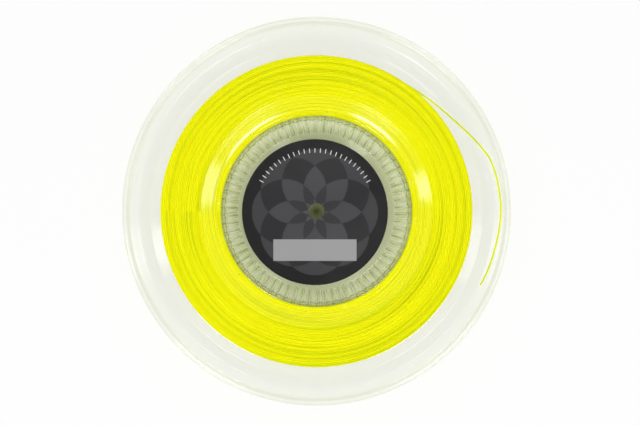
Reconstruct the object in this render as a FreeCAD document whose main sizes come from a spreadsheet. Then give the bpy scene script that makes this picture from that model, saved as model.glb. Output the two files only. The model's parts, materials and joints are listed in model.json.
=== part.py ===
import FreeCAD, Part
import math
import os

import Sketcher

# A reel of racket string, in millimetres. +Z is the reel's axis, and the reel lies on its rear half, with z = 0 at
# the surface that it lies on. Two clear mouldings meet floor to floor in the middle, and a core ring between their
# collars carries the winding. Each half is drawn upwards from the middle plane: its outside is the side that a
# person sees, and its inside is the side that faces the string.

SIZES = {
    # Seen along the axis
    "rim_radius": 135.0,
    "crest_radius": 120.0,
    "collar_outer": 69.5,
    "collar_inner": 66.6,
    "core_radius": 66.5,
    "winding_radius": 109.0,
    "bore_radius": 5.0,
    # Heights above the middle plane, on the outside of a half
    "wall": 1.0,
    "land_height": 8.0,
    "top_height": 11.0,
    "valley_height": 8.1,
    # Slopes of a half's outside, in degrees
    "cup_slope": 42.0,
    "collar_slope": 16.4,
    "bead_slope": 18.0,
    "outer_slope": 22.0,
    # Rounding between the slopes
    "floor_round": 1.2,
    "mouth_round": 2.0,
    "collar_round": 8.0,
    "bead_round": 4.0,
    "crest_round": 20.0,
    "valley_round": 2.0,
    "lip_round": 1.4,
    # Flutes of the cup
    "flute_count": 70,
    "flute_round": 3.2,
    "flute_depth": 0.6,
    "flute_inset": 0.6,
    # Darts round the collar: small pressed triangles that keep the core ring in place
    "dart_count": 16,
    "dart_angle": 16.6,
    "dart_base": 67.6,
    "dart_reach": 2.6,
    "dart_half_width": 2.4,
    "dart_depth": 1.0,
    "dart_wall": 0.7,
    # Tie holes near the rim, and the two slots that hold the end of the string
    "tie_count": 4,
    "tie_circle": 125.0,
    "tie_radius": 1.0,
    "tie_angle": 17.2,
    "slot_width": 2.0,
    "slot_length": 5.0,
    "exit_slot_circle": 121.9,
    "exit_slot_angle": 22.5,
    "end_slot_circle": 124.9,
    "end_slot_angle": -23.3,
    # Core ring and winding
    "core_wall": 1.0,
    "core_ease": 0.05,
    "winding_gap": 0.2,
    "winding_collar_height": 8.6,
    "winding_collar_radius": 70.4,
    "winding_land_radius": 80.5,
    "winding_shoulder": 1.2,
    # Round ridges on the winding, each for two or three turns of string
    "ridge_height": 0.7,
    "side_ridges": 4,
    "land_ridges": 9,
    "slope_ridges": 3,
    # Labels
    "label_radius": 50.9,
    "label_thickness": 0.2,
    "label_hole": 5.5,
    "front_label_x": -1.1,
    "front_label_y": -0.6,
    "rear_label_x": -1.1,
    "rear_label_y": -0.6,
    # String
    "string_diameter": 1.3,
}

# The loose end of the string: out of the winding, up through the exit slot, along the outside of the bead and down
# through the end slot.
TAIL_ROUTE = [
    (58.0, 91.0, 14.6),
    (71.2, 83.3, 15.3),
    (83.6, 73.9, 16.2),
    (95.3, 63.8, 17.2),
    (103.8, 55.7, 18.2),
    (108.9, 50.6, 19.4),
    (111.3, 47.9, 20.7),
    (113.4, 45.6, 22.35),
    (116.1, 42.3, 22.75),
    (120.7, 36.0, 22.35),
    (124.7, 25.4, 21.85),
    (127.7, 10.2, 21.55),
    (128.0, -5.8, 21.6),
    (125.5, -19.9, 21.9),
    (122.2, -31.9, 22.15),
    (118.9, -40.9, 22.35),
    (116.3, -46.3, 22.4),
    (115.0, -48.8, 21.5),
    (114.4, -50.2, 19.6),
    (114.1, -50.8, 17.3),
]
ARC_SHARE = 0.45

LINE = None


class Term:
    """A number together with the spreadsheet formula that gives it."""

    def __init__(self, number, formula):
        self.number = number
        self.formula = formula

    def __add__(self, other):
        other = as_term(other)
        return Term(self.number + other.number, f"({self.formula} + {other.formula})")

    def __sub__(self, other):
        other = as_term(other)
        return Term(self.number - other.number, f"({self.formula} - {other.formula})")

    def __mul__(self, other):
        other = as_term(other)
        return Term(self.number * other.number, f"({self.formula} * {other.formula})")

    def __truediv__(self, other):
        other = as_term(other)
        return Term(self.number / other.number, f"({self.formula} / {other.formula})")

    def __neg__(self):
        return Term(-self.number, f"(0 - {self.formula})")


def as_term(value):
    return value if isinstance(value, Term) else Term(float(value), f"{float(value)}")


def cell(alias):
    return Term(float(SIZES[alias]), f"sizes.{alias}")


def sine(angle):
    return Term(math.sin(math.radians(angle.number)), f"sin({angle.formula})")


def cosine(angle):
    return Term(math.cos(math.radians(angle.number)), f"cos({angle.formula})")


def slope_run(rise, slope):
    """How far outwards a straight slope runs while it rises or falls by rise."""
    return rise * cosine(slope) / sine(slope)


def root(value):
    return Term(math.sqrt(value.number), f"sqrt({value.formula})")


doc = FreeCAD.newDocument("string_reel")


def fill_sheet():
    sheet = doc.addObject("Spreadsheet::Sheet", "sizes")
    for row, (alias, number) in enumerate(SIZES.items(), start=1):
        sheet.set(f"A{row}", alias)
        sheet.set(f"B{row}", str(number))
        sheet.setAlias(f"B{row}", alias)
    doc.recompute()
    return sheet


# Drawing in sketches

def origin_plane(body, role):
    return next(f for f in body.Origin.OriginFeatures if f.Role == role)


def new_body(name):
    body = doc.addObject("PartDesign::Body", name)
    body.Label = name
    return body


def new_sketch(body, name, role, height=None):
    """A sketch on one of the body's own planes, lifted off it by height."""
    sketch = body.newObject("Sketcher::SketchObject", name)
    sketch.AttachmentSupport = [(origin_plane(body, role), "")]
    sketch.MapMode = "FlatFace"
    if height is not None:
        sketch.AttachmentOffset = FreeCAD.Placement(FreeCAD.Vector(0, 0, height.number), FreeCAD.Rotation())
        sketch.setExpression("AttachmentOffset.Base.z", height.formula)
    return sketch


def pin(sketch, geometry, point, x, y):
    """Holds a point of the sketch at x and y from its origin."""
    for kind, value in (("DistanceX", x), ("DistanceY", y)):
        index = sketch.addConstraint(Sketcher.Constraint(kind, -1, 1, geometry, point, value.number))
        sketch.setExpression(f"Constraints[{index}]", value.formula)


def hold_radius(sketch, geometry, radius):
    index = sketch.addConstraint(Sketcher.Constraint("Radius", geometry, radius.number))
    sketch.setExpression(f"Constraints[{index}]", radius.formula)


def flat_point(station):
    return FreeCAD.Vector(station[0].number, station[1].number, 0)


def arc_between(start, end, radius):
    """The short arc between two points. It turns left for a radius above zero, and right for one below."""
    size = abs(radius)
    chord = end - start
    reach = math.sqrt(size * size - chord.Length * chord.Length / 4)
    left = FreeCAD.Vector(-chord.y, chord.x, 0).normalize()
    centre = (start + end) * 0.5 + left * (reach if radius > 0 else -reach)
    first, last = (start, end) if radius > 0 else (end, start)
    from_angle, to_angle = (math.atan2(p.y - centre.y, p.x - centre.x) for p in (first, last))
    return Part.ArcOfCircle(Part.Circle(centre, FreeCAD.Vector(0, 0, 1), size), from_angle, to_angle)


def draw_outline(sketch, stations):
    """Draws a closed outline. Each station is x, y and the radius of the arc to the next station, or LINE."""
    ends = []
    for index, station in enumerate(stations):
        start, end = flat_point(station), flat_point(stations[(index + 1) % len(stations)])
        radius = station[2]
        if radius is LINE:
            sketch.addGeometry(Part.LineSegment(start, end), False)
        else:
            sketch.addGeometry(arc_between(start, end, radius.number), False)
        ends.append((1, 2) if radius is LINE or radius.number > 0 else (2, 1))
    for index in range(len(stations)):
        after = (index + 1) % len(stations)
        sketch.addConstraint(Sketcher.Constraint("Coincident", index, ends[index][1], after, ends[after][0]))
    for index, (x, y, radius) in enumerate(stations):
        pin(sketch, index, ends[index][0], x, y)
        if radius is not LINE:
            hold_radius(sketch, index, radius if radius.number > 0 else -radius)


def draw_circle(sketch, x, y, radius):
    middle = FreeCAD.Vector(x.number, y.number, 0)
    index = sketch.addGeometry(Part.Circle(middle, FreeCAD.Vector(0, 0, 1), radius.number), False)
    pin(sketch, index, 3, x, y)
    hold_radius(sketch, index, radius)


def around(radius, angle, along):
    """A point at radius and angle, moved sideways by along."""
    return (
        radius * cosine(angle) - along * sine(angle),
        radius * sine(angle) + along * cosine(angle),
    )


# Features

def turn(body, sketch):
    turned = body.newObject("PartDesign::Revolution", f"{sketch.Name}_turned")
    turned.Profile = sketch
    turned.ReferenceAxis = (sketch, ["V_Axis"])
    turned.Angle = 360
    doc.recompute()
    return turned


def pocket(body, sketch, depth=None):
    """Cuts down from the sketch by depth, or right through."""
    cut = body.newObject("PartDesign::Pocket", f"{sketch.Name}_cut")
    cut.Profile = sketch
    if depth is None:
        cut.Type = "ThroughAll"
    else:
        cut.Length = depth.number
        cut.setExpression("Length", depth.formula)
    doc.recompute()
    return cut


def pad_up(body, sketch, height):
    pad = body.newObject("PartDesign::Pad", f"{sketch.Name}_pad")
    pad.Profile = sketch
    pad.Length = height.number
    pad.setExpression("Length", height.formula)
    doc.recompute()
    return pad


def repeat(body, name, features, count):
    """Repeats features evenly round the reel's axis."""
    pattern = body.newObject("PartDesign::PolarPattern", name)
    pattern.Originals = features
    pattern.Axis = (origin_plane(body, "Z_Axis"), [""])
    pattern.Angle = 360
    pattern.setExpression("Occurrences", count.formula)
    body.Tip = pattern
    doc.recompute()
    return pattern


def expect_change(body, label, before, grows):
    """Stops the build if a feature that should add or cut material did not, and gives the new volume."""
    now = body.Shape.Volume
    print(f"{body.Label} {label}: {now - before:+.1f} mm3")
    if (now > before) != grows or abs(now - before) < 0.5:
        raise RuntimeError(f"{label} left {body.Label} at {now:.1f} mm3")
    return now


# The moulded half. Its outside, from the bore to the lip, is a row of stations: a point, the surface's tilt there
# in degrees, positive where it faces away from the axis, and the radius of the round to the next station, above
# zero in a hollow and below zero on a crest.

WALL = cell("wall")
TOP = cell("top_height")
LAND = cell("land_height")
VALLEY = cell("valley_height")
LEVEL = Term(0.0, "0")


def in_hollow(middle, base, radius, tilt):
    """A point of a hollow that is lowest at middle and base."""
    return (middle - radius * sine(tilt), base + radius - radius * cosine(tilt), tilt)


def on_crest(middle, peak, radius, tilt):
    """A point of a crest that is highest at middle and peak."""
    return (middle + radius * sine(tilt), peak - radius + radius * cosine(tilt), tilt)


def cup_stations():
    """The floor's edge, the cone of the cup and its mouth."""
    slope = cell("cup_slope")
    floor_round, mouth_round = cell("floor_round"), cell("mouth_round")
    mouth = on_crest(cell("collar_inner"), TOP, mouth_round, -slope)
    foot_height = in_hollow(LEVEL, WALL, floor_round, -slope)[1]
    foot_x = mouth[0] - slope_run(mouth[1] - foot_height, slope)
    floor_x = foot_x - floor_round * sine(slope)
    return (
        in_hollow(floor_x, WALL, floor_round, LEVEL),
        in_hollow(floor_x, WALL, floor_round, -slope),
        mouth,
        on_crest(cell("collar_inner"), TOP, mouth_round, LEVEL),
    )


def collar_stations():
    """The outer edge of the collar, its slope and the start of the flat land."""
    slope, size = cell("collar_slope"), cell("collar_round")
    edge = on_crest(cell("collar_outer"), TOP, size, slope)
    foot_height = in_hollow(LEVEL, LAND, size, slope)[1]
    foot_x = edge[0] + slope_run(edge[1] - foot_height, slope)
    land_x = foot_x + size * sine(slope)
    return (
        on_crest(cell("collar_outer"), TOP, size, LEVEL),
        edge,
        in_hollow(land_x, LAND, size, slope),
        in_hollow(land_x, LAND, size, LEVEL),
    )


def bead_stations():
    """The stiffening bead, from the flat land over its crest."""
    rise, fall = cell("bead_slope"), cell("outer_slope")
    foot_round, crest_round = cell("bead_round"), cell("crest_round")
    crest = on_crest(cell("crest_radius"), TOP, crest_round, -rise)
    foot_height = in_hollow(LEVEL, LAND, foot_round, -rise)[1]
    foot_x = crest[0] - slope_run(crest[1] - foot_height, rise)
    land_x = foot_x - foot_round * sine(rise)
    return (
        in_hollow(land_x, LAND, foot_round, LEVEL),
        in_hollow(land_x, LAND, foot_round, -rise),
        crest,
        on_crest(cell("crest_radius"), TOP, crest_round, fall),
    )


def valley_stations(crest_end):
    """The foot of the bead's outer slope."""
    fall, size = cell("outer_slope"), cell("valley_round")
    foot_height = in_hollow(LEVEL, VALLEY, size, fall)[1]
    foot_x = crest_end[0] + slope_run(crest_end[1] - foot_height, fall)
    valley_x = foot_x + size * sine(fall)
    return in_hollow(valley_x, VALLEY, size, fall), in_hollow(valley_x, VALLEY, size, LEVEL)


def half_stations():
    """The whole outline of a half: its outside from the bore to the lip, then its inside back to the bore."""
    floor, foot, mouth, collar_in = cup_stations()
    collar_out, edge, collar_foot, land_in = collar_stations()
    land_out, bead_foot, crest_start, crest_end = bead_stations()
    valley_start, valley_end = valley_stations(crest_end)
    outside = [
        ((cell("bore_radius"), WALL, LEVEL), LINE),
        (floor, cell("floor_round")),
        (foot, LINE),
        (mouth, -cell("mouth_round")),
        (collar_in, LINE),
        (collar_out, -cell("collar_round")),
        (edge, LINE),
        (collar_foot, cell("collar_round")),
        (land_in, LINE),
        (land_out, cell("bead_round")),
        (bead_foot, LINE),
        (crest_start, -cell("crest_round")),
        (crest_end, LINE),
        (valley_start, cell("valley_round")),
        (valley_end, LINE),
    ]
    inside = []
    for index, ((x, z, tilt), _) in enumerate(outside):
        back = outside[index - 1][1] if index else LINE
        radius = LINE if back is LINE else -(back + WALL)
        inside.append((x - WALL * sine(tilt), z - WALL * cosine(tilt), radius))
    lip_round = cell("lip_round")
    lip_x = cell("rim_radius") - lip_round
    bite = root(lip_round * lip_round - WALL * WALL / 4)
    lip = [
        (lip_x - bite, VALLEY, -lip_round),
        (cell("rim_radius"), VALLEY - WALL / 2, -lip_round),
        (lip_x - bite, VALLEY - WALL, LINE),
    ]
    return [(x, z, radius) for (x, z, _), radius in outside] + lip + inside[::-1]


def cut_flutes(body):
    """Shallow round flutes down the cone of the cup."""
    slope = cell("cup_slope")
    _, foot, mouth, _ = cup_stations()
    inset = cell("flute_inset")
    start_x = mouth[0] - inset * cosine(slope)
    start_z = mouth[1] - inset * sine(slope)
    sketch = new_sketch(body, f"{body.Name}_flute", "YZ_Plane")
    sketch.AttachmentOffset = FreeCAD.Placement(
        FreeCAD.Vector(0, start_z.number, start_x.number),
        FreeCAD.Rotation(FreeCAD.Vector(-1, 0, 0), slope.number),
    )
    sketch.setExpression("AttachmentOffset.Base.y", start_z.formula)
    sketch.setExpression("AttachmentOffset.Base.z", start_x.formula)
    sketch.setExpression("AttachmentOffset.Rotation.Angle", slope.formula)
    draw_circle(sketch, LEVEL, cell("flute_round") - cell("flute_depth"), cell("flute_round"))
    length = (mouth[1] - foot[1]) / sine(slope) - inset * 2
    return repeat(body, f"{body.Name}_flutes", [pocket(body, sketch, length)], cell("flute_count"))


def draw_dart(sketch, base, reach, half_width):
    """A triangle that points away from the axis."""
    angle = cell("dart_angle")
    corners = (
        around(base, angle, -half_width),
        around(base + reach, angle, LEVEL),
        around(base, angle, half_width),
    )
    draw_outline(sketch, [(x, y, LINE) for x, y in corners])


def press_darts(body):
    """Triangles pressed into the collar: a boss on the inside, and a pocket in it from the outside."""
    base, reach, half_width = cell("dart_base"), cell("dart_reach"), cell("dart_half_width")
    margin, depth = cell("dart_wall"), cell("dart_depth")
    boss = new_sketch(body, f"{body.Name}_dart_boss", "XY_Plane", TOP - WALL - depth)
    draw_dart(boss, base - margin, reach + margin * 2.5, half_width + margin)
    bosses = repeat(body, f"{body.Name}_dart_bosses", [pad_up(body, boss, depth + WALL / 2)], cell("dart_count"))
    body.Tip = bosses
    dent = new_sketch(body, f"{body.Name}_dart", "XY_Plane", TOP)
    draw_dart(dent, base, reach, half_width)
    return repeat(body, f"{body.Name}_darts", [pocket(body, dent, depth)], cell("dart_count"))


def cut_tie_holes(body):
    sketch = new_sketch(body, f"{body.Name}_tie", "XY_Plane", TOP)
    x, y = around(cell("tie_circle"), cell("tie_angle"), LEVEL)
    draw_circle(sketch, x, y, cell("tie_radius"))
    return repeat(body, f"{body.Name}_ties", [pocket(body, sketch)], cell("tie_count"))


def cut_slot(body, name, circle, angle):
    """A slot with round ends, whose long side runs round the reel."""
    half = cell("slot_width") / 2
    reach = cell("slot_length") / 2
    straight = reach - half
    sketch = new_sketch(body, f"{body.Name}_{name}", "XY_Plane", TOP)
    places = (
        (circle + half, -straight, LINE),
        (circle + half, straight, half),
        (circle, reach, half),
        (circle - half, straight, LINE),
        (circle - half, -straight, half),
        (circle, -reach, half),
    )
    draw_outline(sketch, [(*around(radius, angle, along), size) for radius, along, size in places])
    return pocket(body, sketch)


def make_half(name):
    body = new_body(name)
    sketch = new_sketch(body, f"{name}_outline", "XZ_Plane")
    draw_outline(sketch, half_stations())
    turn(body, sketch)
    volume = expect_change(body, "turned", 0.0, True)
    cut_flutes(body)
    volume = expect_change(body, "flutes", volume, False)
    press_darts(body)
    volume = expect_change(body, "darts", volume, True)
    cut_tie_holes(body)
    volume = expect_change(body, "tie holes", volume, False)
    for slot in ("exit_slot", "end_slot"):
        cut_slot(body, slot, cell(f"{slot}_circle"), cell(f"{slot}_angle"))
        volume = expect_change(body, slot, volume, False)
    return body


def make_front_shell():
    body = make_half("front_shell")
    body.setExpression("Placement.Base.z", TOP.formula)
    return body


def make_rear_shell():
    """The same moulding, turned over about the line through a tie hole, so that the tie holes line up."""
    body = make_half("rear_shell")
    angle = math.radians(SIZES["tie_angle"])
    hinge = FreeCAD.Vector(math.cos(angle), math.sin(angle), 0)
    body.Placement = FreeCAD.Placement(FreeCAD.Vector(0, 0, TOP.number), FreeCAD.Rotation(hinge, 180))
    body.setExpression("Placement.Base.z", TOP.formula)
    return body


def core_reach():
    """Height above the middle plane at which the core ring's inner corner meets the back of the cup's cone."""
    slope = cell("cup_slope")
    mouth = cup_stations()[2]
    inner = cell("core_radius") - cell("core_wall")
    back_x, back_z = mouth[0] + WALL * sine(slope), mouth[1] - WALL * cosine(slope)
    return back_z - (back_x - inner) * sine(slope) / cosine(slope) - cell("core_ease")


def make_turned(name, stations):
    """A body of revolution round the reel's axis, with z = 0 of its outline at the middle plane."""
    body = new_body(name)
    sketch = new_sketch(body, f"{name}_outline", "XZ_Plane")
    draw_outline(sketch, stations)
    turn(body, sketch)
    body.setExpression("Placement.Base.z", TOP.formula)
    expect_change(body, "turned", 0.0, True)
    return body


def make_core():
    outer, inner, reach = cell("core_radius"), cell("core_radius") - cell("core_wall"), core_reach()
    corners = ((inner, -reach), (outer, -reach), (outer, reach), (inner, reach))
    return make_turned("hub_core", [(x, z, LINE) for x, z in corners])


def ridged(start, end, count):
    """Stations from start until just before end, each the foot of one round ridge."""
    step_x, step_z = (end[0] - start[0]) / count, (end[1] - start[1]) / count
    rise = cell("ridge_height")
    radius = (step_x * step_x + step_z * step_z) / (rise * 8) + rise / 2
    return [(start[0] + step_x * index, start[1] + step_z * index, radius) for index in range(count)]


def make_winding():
    """The wound string as one solid with round ridges, as high as the flanges leave room for."""
    rise = cell("ridge_height")
    collar = cell("winding_collar_height") - rise
    flat = LAND - WALL - cell("winding_gap") - rise
    side = cell("winding_radius") - rise
    corners = (
        (side, flat - cell("winding_shoulder")),
        (side - cell("winding_shoulder"), flat),
        (cell("winding_land_radius"), flat),
        (cell("winding_collar_radius"), collar),
        (cell("core_radius"), collar),
    )
    counts = (1, SIZES["land_ridges"], SIZES["slope_ridges"], 1)
    mirrored = [(x, -z) for x, z in corners[::-1]]
    stations = []
    for start, end, count in zip(corners, corners[1:], counts):
        stations += ridged(start, end, count)
    stations.append((*corners[-1], LINE))
    for start, end, count in zip(mirrored, mirrored[1:], counts[::-1]):
        stations += ridged(start, end, count)
    stations += ridged(mirrored[-1], corners[0], SIZES["side_ridges"])
    return make_turned("string_winding", stations)


def make_label(name, side, base):
    """A thin round label, off centre on its floor, with a hole in line with the spindle's."""
    disc = doc.addObject("Part::Cylinder", f"{name}_disc")
    hole = doc.addObject("Part::Cylinder", f"{name}_hole")
    thickness = cell("label_thickness")
    for cylinder, radius in ((disc, cell("label_radius")), (hole, cell("label_hole"))):
        cylinder.setExpression("Radius", radius.formula)
        cylinder.setExpression("Height", thickness.formula)
        cylinder.setExpression("Placement.Base.z", base.formula)
    disc.setExpression("Placement.Base.x", cell(f"{side}_label_x").formula)
    disc.setExpression("Placement.Base.y", cell(f"{side}_label_y").formula)
    label = doc.addObject("Part::Cut", name)
    label.Base = disc
    label.Tool = hole
    label.Label = name
    return label


def rounded_path(points):
    """Straight runs joined by tangent arcs, each as large as its two runs allow. Gives the wire and the radii."""
    runs = [(b - a).Length for a, b in zip(points, points[1:])]
    edges, radii = [], []
    reached = points[0]
    for index in range(1, len(points) - 1):
        corner = points[index]
        arriving = (corner - points[index - 1]).normalize()
        leaving = (points[index + 1] - corner).normalize()
        half_turn = arriving.getAngle(leaving) / 2
        cut_back = ARC_SHARE * min(runs[index - 1], runs[index])
        radii.append(cut_back / math.tan(half_turn))
        start, end = corner - arriving * cut_back, corner + leaving * cut_back
        inwards = (leaving - arriving).normalize()
        middle = corner + inwards * (radii[-1] / math.cos(half_turn) - radii[-1])
        edges.append(Part.LineSegment(reached, start).toShape())
        edges.append(Part.Arc(start, middle, end).toShape())
        reached = end
    edges.append(Part.LineSegment(reached, points[-1]).toShape())
    return Part.Wire(edges), radii


def make_tail(sheet):
    radius = sheet.get("string_diameter") / 2
    points = [FreeCAD.Vector(*place) for place in TAIL_ROUTE]
    path, radii = rounded_path(points)
    section = Part.Wire(Part.Circle(points[0], points[1] - points[0], radius).toShape())
    tube = path.makePipeShell([section], True, False)
    expected = math.pi * radius * radius * path.Length
    print("string_tail arc radii:", " ".join(f"{size:.1f}" for size in radii))
    print(f"string_tail length {path.Length:.1f} mm, volume {tube.Volume:.2f} of {expected:.2f} mm3")
    if abs(tube.Volume - expected) > 0.01 * expected:
        raise RuntimeError("the tail's volume is not its section times its length")
    tail = doc.addObject("Part::Feature", "string_tail")
    tail.Label = "string_tail"
    tail.Shape = tube
    return tail


def check_document(pieces):
    for item in doc.Objects:
        if "Invalid" in item.State or "Error" in item.State:
            raise RuntimeError(f"{item.Name}: {item.State}")
    for piece in pieces:
        if piece.Shape.isNull() or not piece.Shape.isValid():
            raise RuntimeError(f"{piece.Label} has no valid shape")
        box = piece.Shape.BoundBox
        print(
            f"{piece.Label}: {len(piece.Shape.Solids)} solid, {piece.Shape.Volume:.0f} mm3,"
            f" x {box.XMin:.1f} to {box.XMax:.1f}, z {box.ZMin:.2f} to {box.ZMax:.2f}"
        )


def main():
    sheet = fill_sheet()
    pieces = [
        make_front_shell(),
        make_rear_shell(),
        make_core(),
        make_winding(),
        make_label("front_label", "front", TOP + WALL),
        make_label("rear_label", "rear", TOP - WALL - cell("label_thickness")),
        make_tail(sheet),
    ]
    doc.recompute()
    check_document(pieces)
    os.makedirs("parts", exist_ok=True)
    for piece in pieces:
        piece.Shape.exportStep(f"parts/{piece.Label}.step")


main()
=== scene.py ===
# %% [markdown]
# # A reel of racket string
#
# The object is a flat clear spool, 270 mm across, that holds 200 m of fluorescent yellow string. Two
# clear plastic mouldings lie floor to floor, a clear ring stands between their collars, and the string is
# wound on that ring. A dark round label is stuck on each floor.
#
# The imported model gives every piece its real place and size. This script adds what the eye sees: clear
# plastic that bends the light, 366 turns of string, and a printed label. Lengths are written in
# millimetres and turned into metres where a mesh is made. The reel's axis is +Z, and the reel lies on the
# floor at z = 0.

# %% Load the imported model
import json
import math

import bmesh
import bpy
import numpy as np
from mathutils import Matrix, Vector


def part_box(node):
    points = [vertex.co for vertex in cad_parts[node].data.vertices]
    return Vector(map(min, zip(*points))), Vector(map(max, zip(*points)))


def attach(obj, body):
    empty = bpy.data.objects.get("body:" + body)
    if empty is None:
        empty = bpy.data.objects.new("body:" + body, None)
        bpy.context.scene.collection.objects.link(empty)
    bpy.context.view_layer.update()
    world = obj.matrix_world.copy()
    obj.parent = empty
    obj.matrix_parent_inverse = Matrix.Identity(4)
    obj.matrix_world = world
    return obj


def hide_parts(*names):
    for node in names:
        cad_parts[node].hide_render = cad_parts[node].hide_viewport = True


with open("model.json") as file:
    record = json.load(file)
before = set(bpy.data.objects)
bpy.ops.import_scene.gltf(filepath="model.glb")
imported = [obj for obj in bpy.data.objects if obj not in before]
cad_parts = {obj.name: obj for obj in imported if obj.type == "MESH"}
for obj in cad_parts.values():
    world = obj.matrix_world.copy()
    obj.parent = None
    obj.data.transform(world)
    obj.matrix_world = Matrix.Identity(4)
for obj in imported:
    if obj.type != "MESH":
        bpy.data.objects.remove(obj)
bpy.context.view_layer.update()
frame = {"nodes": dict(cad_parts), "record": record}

MM = 0.001

# %% [markdown]
# ## Camera
#
# The photograph looks straight down the reel's axis from far away, as catalogue pictures do, so that the
# rim is a circle and the sides don't show. A long lens from two metres does the same. The picture is 640
# pixels wide, and one pixel is 0.6938 mm at the reel, which fixes the lens. The reel's centre is a little
# off the picture's centre, so the camera stands off the axis by the same few pixels.

# %% Place the camera over the reel
IMAGE_WIDTH = 640
IMAGE_HEIGHT = 425
REEL_CENTRE_X = 316.5
REEL_CENTRE_Y = 211.25
PIXEL = 0.6938
CAMERA_HEIGHT = 2.0
SENSOR = 36.0
FRONT_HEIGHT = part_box("front_shell")[1].z

camera = bpy.data.cameras.new("camera")
camera.sensor_width = SENSOR
camera.lens = SENSOR * (CAMERA_HEIGHT - FRONT_HEIGHT) / (IMAGE_WIDTH * PIXEL * MM)
camera_object = bpy.data.objects.new("camera", camera)
camera_object.location = (
    (IMAGE_WIDTH / 2 - REEL_CENTRE_X) * PIXEL * MM,
    (REEL_CENTRE_Y - IMAGE_HEIGHT / 2) * PIXEL * MM,
    CAMERA_HEIGHT,
)
bpy.context.scene.collection.objects.link(camera_object)
bpy.context.scene.camera = camera_object
print("lens, mm:", round(camera.lens, 1))

# %% [markdown]
# ## The loose end
#
# The last turn of string leaves the winding, comes up through a slot in the front flange, lies along the
# flange and goes down through a second slot, where it is held. It is a free cord, so it follows the same
# given points as the imported model's tube. A NURBS curve takes them as control points and gives one smooth
# line, as springy polyester string has. Its thickness could stand in the bevel depth alone, but Blender
# makes a curve's box larger by the radius of its points, which is a whole metre to begin with. So the points
# carry the string's radius, and the bevel is 1.

# %% Lay the loose end along its route
STRING_DIAMETER = 1.3
TAIL_LENGTH = 0.1765
TAIL_ROUTE = [
    (58.0, 91.0, 14.6),
    (71.2, 83.3, 15.3),
    (83.6, 73.9, 16.2),
    (95.3, 63.8, 17.2),
    (103.8, 55.7, 18.2),
    (108.9, 50.6, 19.4),
    (111.3, 47.9, 20.7),
    (113.4, 45.6, 22.35),
    (116.1, 42.3, 22.75),
    (120.7, 36.0, 22.35),
    (124.7, 25.4, 21.85),
    (127.7, 10.2, 21.55),
    (128.0, -5.8, 21.6),
    (125.5, -19.9, 21.9),
    (122.2, -31.9, 22.15),
    (118.9, -40.9, 22.35),
    (116.3, -46.3, 22.4),
    (115.0, -48.8, 21.5),
    (114.4, -50.2, 19.6),
    (114.1, -50.8, 17.3),
]


def lay_cord(name, route, diameter):
    """A round cord on one smooth curve, with the route's points as its control points."""
    curve = bpy.data.curves.new(name, "CURVE")
    curve.dimensions = "3D"
    curve.resolution_u = 12
    curve.bevel_depth = 1.0
    curve.bevel_resolution = 6
    curve.use_fill_caps = True
    spline = curve.splines.new("NURBS")
    spline.points.add(len(route) - 1)
    for point, (x, y, z) in zip(spline.points, route):
        point.co = (x * MM, y * MM, z * MM, 1)
        point.radius = diameter / 2 * MM
    spline.order_u = 3
    spline.use_endpoint_u = True
    piece = bpy.data.objects.new(name, curve)
    bpy.context.scene.collection.objects.link(piece)
    return piece


tail = lay_cord("loose_string_end", TAIL_ROUTE, STRING_DIAMETER)
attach(tail, "root")
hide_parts("string_tail")
print("loose end:", len(TAIL_ROUTE), "points")

# %% [markdown]
# ## The section of a clear half
#
# Each half is one thin moulding, so its whole shape is one line turned round the axis: a flat floor, a
# cup with a steep cone, a flat collar, a slope down to the flat flange, a stiffening bead with a flat top
# and a rounded rim. The line is drawn as a row of corners, and every corner gets a round. The size of a
# round decides how wide a lamp looks in it: the collar's is large and shows broad highlights, the bead's
# are small and show thin ones. The other side of the wall is the same line, moved inwards by its
# thickness. The heights are above the middle plane, where the two floors meet. An air gap of 0.03 mm
# keeps the floors apart there, because light can't be traced through two glass walls in one place.

# %% Corners of a half
RIM_RADIUS = 135.0
CORE_RADIUS = 66.5
BORE_RADIUS = frame["record"]["mounts"][0]["dims"]["r_mm"]
WALL = 1.0
MIDDLE = 11.0
TOP = 11.0
VALLEY = 8.1
LIP_ROUND = 0.9
LIP_START = RIM_RADIUS - LIP_ROUND - math.sqrt(LIP_ROUND**2 - (WALL / 2) ** 2)
CORNERS = [
    # distance from the axis, height, size of the round, rows across the round
    (54.73, 1.0, 1.2, 4),
    (65.83, 11.0, 2.0, 4),
    (70.65, 11.0, 20.0, 18),
    (80.85, 8.0, 1.2, 5),
    (108.45, 8.0, 2.0, 5),
    (115.38, 10.8, 2.0, 5),
    (124.37, 10.8, 2.0, 5),
    (131.05, 8.1, 2.0, 5),
]
CONE_PLACES = (0.025, 0.05, 0.075, 0.5, 0.925, 0.95, 0.975)
SHARES_BETWEEN = [
    # where rows stand on the straight stretch that follows each corner
    CONE_PLACES,
    (0.33, 0.67),
    (),
    (),
    (),
    tuple(np.linspace(0, 1, 9)[1:-1]),
    (0.25, 0.5, 0.75),
    (),
]
print("corners:", len(CORNERS), " where the lip starts, mm:", round(LIP_START, 3))

# %% Draw the section
AIR_GAP = 0.03
LIP_STEPS = 9


def normal_of(tilt):
    """The direction away from a wall that leans by tilt, as its parts outwards and upwards."""
    return np.array((math.sin(tilt), math.cos(tilt)))


def round_rows(corner, size, before, after, count):
    """Rows across the round of a corner, as distance from the axis, height and tilt."""
    side = math.copysign(1, after - before)
    first, last = normal_of(before), normal_of(after)
    middle = corner - side * size * (first + last) / (1 + first @ last)
    return [(*(middle + side * size * normal_of(tilt)), tilt) for tilt in np.linspace(before, after, count)]


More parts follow.
